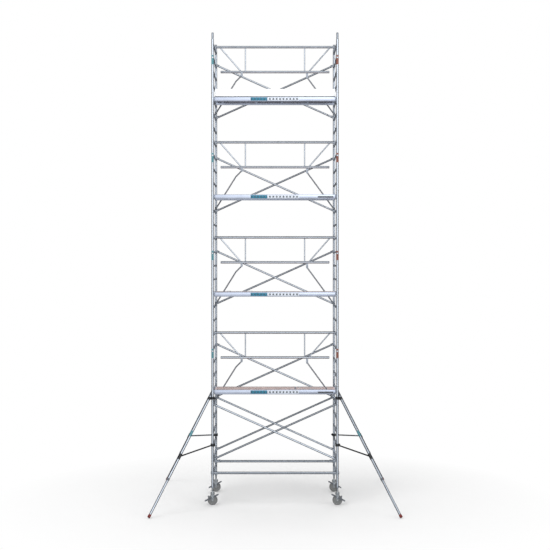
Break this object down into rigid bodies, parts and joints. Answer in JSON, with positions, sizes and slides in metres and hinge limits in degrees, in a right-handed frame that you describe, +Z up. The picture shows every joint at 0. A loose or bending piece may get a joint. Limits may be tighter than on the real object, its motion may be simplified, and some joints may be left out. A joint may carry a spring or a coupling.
{
  "type": "mobile tower scaffold",
  "caption": "Tall aluminium mobile scaffold tower with ladder end frames, hatch decks, guardrails, crossed braces, splayed stabilisers and lockable casters.",
  "frame": {"origin": "on the floor, under the middle of the tower", "axes": "+Z up, +X along the bay to the right, the decks are in the front half at -Y"},
  "size_m": [4.8548, 3.844, 9.4601],
  "materials": {
    "frame_tube": "mill finish extruded tube",
    "guardrail_tube": "mill finish tube",
    "brace_tube": "mill finish tube",
    "deck_beam": "anodised extrusion",
    "deck_board": "phenolic faced plywood",
    "toe_board": "white painted board",
    "cast_fitting": "cast",
    "spindle_steel": "zinc plated",
    "caster_metal": "grey zinc plated and painted",
    "wheel_nylon": "moulded grey",
    "stabiliser_tube": "mill finish tube",
    "foot_rubber": "dark moulded"
  },
  "bodies": {
    "tower": {"frame_left_1": "frame_tube", "frame_left_2": "frame_tube", "frame_left_3": "frame_tube", "frame_left_4": "frame_tube", "frame_right_1": "frame_tube", "frame_right_2": "frame_tube", "frame_right_3": "frame_tube", "frame_right_4": "frame_tube", "top_frames": "frame_tube", "spigots": "cast_fitting", "leg_nuts": "cast_fitting", "base_braces": "brace_tube", "upper_braces": "brace_tube", "guardrail_1": "guardrail_tube", "guardrail_2": "guardrail_tube", "guardrail_3": "guardrail_tube", "guardrail_4": "guardrail_tube", "deck_frames": "deck_beam", "deck_boards": "deck_board", "toe_boards": "toe_board"},
    "hatch_1": {"hatch_1": "deck_board"},
    "guardrail_leg_left_1": {"guardrail_leg_left_1": "guardrail_tube"},
    "guardrail_leg_right_1": {"guardrail_leg_right_1": "guardrail_tube"},
    "hatch_2": {"hatch_2": "deck_board"},
    "guardrail_leg_left_2": {"guardrail_leg_left_2": "guardrail_tube"},
    "guardrail_leg_right_2": {"guardrail_leg_right_2": "guardrail_tube"},
    "hatch_3": {"hatch_3": "deck_board"},
    "guardrail_leg_left_3": {"guardrail_leg_left_3": "guardrail_tube"},
    "guardrail_leg_right_3": {"guardrail_leg_right_3": "guardrail_tube"},
    "hatch_4": {"hatch_4": "deck_board"},
    "guardrail_leg_left_4": {"guardrail_leg_left_4": "guardrail_tube"},
    "guardrail_leg_right_4": {"guardrail_leg_right_4": "guardrail_tube"},
    "leg_front_left": {"leg_spindle_front_left": "spindle_steel"},
    "caster_front_left": {"caster_fork_front_left": "caster_metal"},
    "wheel_front_left": {"wheel_front_left": "wheel_nylon"},
    "brake_pedal_front_left": {"brake_pedal_front_left": "cast_fitting"},
    "stabiliser_arm_front_left": {"stabiliser_arm_front_left": "stabiliser_tube"},
    "stabiliser_leg_front_left": {"stabiliser_leg_front_left": "stabiliser_tube", "stabiliser_foot_front_left": "foot_rubber"},
    "leg_front_right": {"leg_spindle_front_right": "spindle_steel"},
    "caster_front_right": {"caster_fork_front_right": "caster_metal"},
    "wheel_front_right": {"wheel_front_right": "wheel_nylon"},
    "brake_pedal_front_right": {"brake_pedal_front_right": "cast_fitting"},
    "stabiliser_arm_front_right": {"stabiliser_arm_front_right": "stabiliser_tube"},
    "stabiliser_leg_front_right": {"stabiliser_leg_front_right": "stabiliser_tube", "stabiliser_foot_front_right": "foot_rubber"},
    "leg_rear_left": {"leg_spindle_rear_left": "spindle_steel"},
    "caster_rear_left": {"caster_fork_rear_left": "caster_metal"},
    "wheel_rear_left": {"wheel_rear_left": "wheel_nylon"},
    "brake_pedal_rear_left": {"brake_pedal_rear_left": "cast_fitting"},
    "stabiliser_arm_rear_left": {"stabiliser_arm_rear_left": "stabiliser_tube"},
    "stabiliser_leg_rear_left": {"stabiliser_leg_rear_left": "stabiliser_tube", "stabiliser_foot_rear_left": "foot_rubber"},
    "leg_rear_right": {"leg_spindle_rear_right": "spindle_steel"},
    "caster_rear_right": {"caster_fork_rear_right": "caster_metal"},
    "wheel_rear_right": {"wheel_rear_right": "wheel_nylon"},
    "brake_pedal_rear_right": {"brake_pedal_rear_right": "cast_fitting"},
    "stabiliser_arm_rear_right": {"stabiliser_arm_rear_right": "stabiliser_tube"},
    "stabiliser_leg_rear_right": {"stabiliser_leg_rear_right": "stabiliser_tube", "stabiliser_foot_rear_right": "foot_rubber"}
  },
  "joints": [
    {"name": "hatch_open_1", "type": "hinge", "parent": "tower", "child": "hatch_1", "pos_m": [0.725, -0.12, 2.3053], "axis": [-1, 0, 0], "range_deg": [0, 95]},
    {"name": "guardrail_fold_left_1", "type": "hinge", "parent": "tower", "child": "guardrail_leg_left_1", "pos_m": [-0.687, -0.016, 2.818], "axis": [0, -1, 0], "range_deg": [0, 120]},
    {"name": "guardrail_fold_right_1", "type": "hinge", "parent": "tower", "child": "guardrail_leg_right_1", "pos_m": [0.662, 0.016, 2.787], "axis": [0, 1, 0], "range_deg": [0, 125]},
    {"name": "hatch_open_2", "type": "hinge", "parent": "tower", "child": "hatch_2", "pos_m": [-0.725, -0.12, 4.2653], "axis": [-1, 0, 0], "range_deg": [0, 95]},
    {"name": "guardrail_fold_left_2", "type": "hinge", "parent": "tower", "child": "guardrail_leg_left_2", "pos_m": [-0.687, -0.016, 4.778], "axis": [0, -1, 0], "range_deg": [0, 120]},
    {"name": "guardrail_fold_right_2", "type": "hinge", "parent": "tower", "child": "guardrail_leg_right_2", "pos_m": [0.662, 0.016, 4.747], "axis": [0, 1, 0], "range_deg": [0, 125]},
    {"name": "hatch_open_3", "type": "hinge", "parent": "tower", "child": "hatch_3", "pos_m": [0.725, -0.12, 6.2253], "axis": [-1, 0, 0], "range_deg": [0, 95]},
    {"name": "guardrail_fold_left_3", "type": "hinge", "parent": "tower", "child": "guardrail_leg_left_3", "pos_m": [-0.687, -0.016, 6.738], "axis": [0, -1, 0], "range_deg": [0, 120]},
    {"name": "guardrail_fold_right_3", "type": "hinge", "parent": "tower", "child": "guardrail_leg_right_3", "pos_m": [0.662, 0.016, 6.707], "axis": [0, 1, 0], "range_deg": [0, 125]},
    {"name": "hatch_open_4", "type": "hinge", "parent": "tower", "child": "hatch_4", "pos_m": [-0.725, -0.12, 8.1853], "axis": [-1, 0, 0], "range_deg": [0, 95]},
    {"name": "guardrail_fold_left_4", "type": "hinge", "parent": "tower", "child": "guardrail_leg_left_4", "pos_m": [-0.687, -0.016, 8.698], "axis": [0, -1, 0], "range_deg": [0, 120]},
    {"name": "guardrail_fold_right_4", "type": "hinge", "parent": "tower", "child": "guardrail_leg_right_4", "pos_m": [0.662, 0.016, 8.667], "axis": [0, 1, 0], "range_deg": [0, 125]},
    {"name": "leg_slide_front_left", "type": "slide", "parent": "tower", "child": "leg_front_left", "axis": [0, 0, -1], "range_m": [0, 0.2]},
    {"name": "caster_swivel_front_left", "type": "hinge", "parent": "leg_front_left", "child": "caster_front_left", "pos_m": [-1.25, -0.675, 0.25], "axis": [0, 0, 1], "continuous": true},
    {"name": "wheel_roll_front_left", "type": "hinge", "parent": "caster_front_left", "child": "wheel_front_left", "pos_m": [-1.25, -0.675, 0.1], "axis": [0, 1, 0], "continuous": true},
    {"name": "brake_press_front_left", "type": "hinge", "parent": "caster_front_left", "child": "brake_pedal_front_left", "pos_m": [-1.25, -0.675, 0.156], "axis": [0, -1, 0], "range_deg": [0, 8]},
    {"name": "stabiliser_swing_front_left", "type": "hinge", "parent": "tower", "child": "stabiliser_arm_front_left", "pos_m": [-1.25, -0.675, 1.2], "axis": [0, 0, 1], "range_deg": [-40, 40]},
    {"name": "stabiliser_extend_front_left", "type": "slide", "parent": "stabiliser_arm_front_left", "child": "stabiliser_leg_front_left", "axis": [-0.4094, -0.4343, -0.8024], "range_m": [-0.6, 0]},
    {"name": "leg_slide_front_right", "type": "slide", "parent": "tower", "child": "leg_front_right", "axis": [0, 0, -1], "range_m": [0, 0.2]},
    {"name": "caster_swivel_front_right", "type": "hinge", "parent": "leg_front_right", "child": "caster_front_right", "pos_m": [1.25, -0.675, 0.25], "axis": [0, 0, 1], "continuous": true},
    {"name": "wheel_roll_front_right", "type": "hinge", "parent": "caster_front_right", "child": "wheel_front_right", "pos_m": [1.25, -0.675, 0.1], "axis": [0, 1, 0], "continuous": true},
    {"name": "brake_press_front_right", "type": "hinge", "parent": "caster_front_right", "child": "brake_pedal_front_right", "pos_m": [1.25, -0.675, 0.156], "axis": [0, 1, 0], "range_deg": [0, 8]},
    {"name": "stabiliser_swing_front_right", "type": "hinge", "parent": "tower", "child": "stabiliser_arm_front_right", "pos_m": [1.25, -0.675, 1.2], "axis": [0, 0, 1], "range_deg": [-40, 40]},
    {"name": "stabiliser_extend_front_right", "type": "slide", "parent": "stabiliser_arm_front_right", "child": "stabiliser_leg_front_right", "axis": [0.4094, -0.4343, -0.8024], "range_m": [-0.6, 0]},
    {"name": "leg_slide_rear_left", "type": "slide", "parent": "tower", "child": "leg_rear_left", "axis": [0, 0, -1], "range_m": [0, 0.2]},
    {"name": "caster_swivel_rear_left", "type": "hinge", "parent": "leg_rear_left", "child": "caster_rear_left", "pos_m": [-1.25, 0.675, 0.25], "axis": [0, 0, 1], "continuous": true},
    {"name": "wheel_roll_rear_left", "type": "hinge", "parent": "caster_rear_left", "child": "wheel_rear_left", "pos_m": [-1.25, 0.675, 0.1], "axis": [0, 1, 0], "continuous": true},
    {"name": "brake_press_rear_left", "type": "hinge", "parent": "caster_rear_left", "child": "brake_pedal_rear_left", "pos_m": [-1.25, 0.675, 0.156], "axis": [0, -1, 0], "range_deg": [0, 8]},
    {"name": "stabiliser_swing_rear_left", "type": "hinge", "parent": "tower", "child": "stabiliser_arm_rear_left", "pos_m": [-1.25, 0.675, 1.2], "axis": [0, 0, 1], "range_deg": [-40, 40]},
    {"name": "stabiliser_extend_rear_left", "type": "slide", "parent": "stabiliser_arm_rear_left", "child": "stabiliser_leg_rear_left", "axis": [-0.4094, 0.4343, -0.8024], "range_m": [-0.6, 0]},
    {"name": "leg_slide_rear_right", "type": "slide", "parent": "tower", "child": "leg_rear_right", "axis": [0, 0, -1], "range_m": [0, 0.2]},
    {"name": "caster_swivel_rear_right", "type": "hinge", "parent": "leg_rear_right", "child": "caster_rear_right", "pos_m": [1.25, 0.675, 0.25], "axis": [0, 0, 1], "continuous": true},
    {"name": "wheel_roll_rear_right", "type": "hinge", "parent": "caster_rear_right", "child": "wheel_rear_right", "pos_m": [1.25, 0.675, 0.1], "axis": [0, 1, 0], "continuous": true},
    {"name": "brake_press_rear_right", "type": "hinge", "parent": "caster_rear_right", "child": "brake_pedal_rear_right", "pos_m": [1.25, 0.675, 0.156], "axis": [0, 1, 0], "range_deg": [0, 8]},
    {"name": "stabiliser_swing_rear_right", "type": "hinge", "parent": "tower", "child": "stabiliser_arm_rear_right", "pos_m": [1.25, 0.675, 1.2], "axis": [0, 0, 1], "range_deg": [-40, 40]},
    {"name": "stabiliser_extend_rear_right", "type": "slide", "parent": "stabiliser_arm_rear_right", "child": "stabiliser_leg_rear_right", "axis": [0.4094, 0.4343, -0.8024], "range_m": [-0.6, 0]}
  ]
}
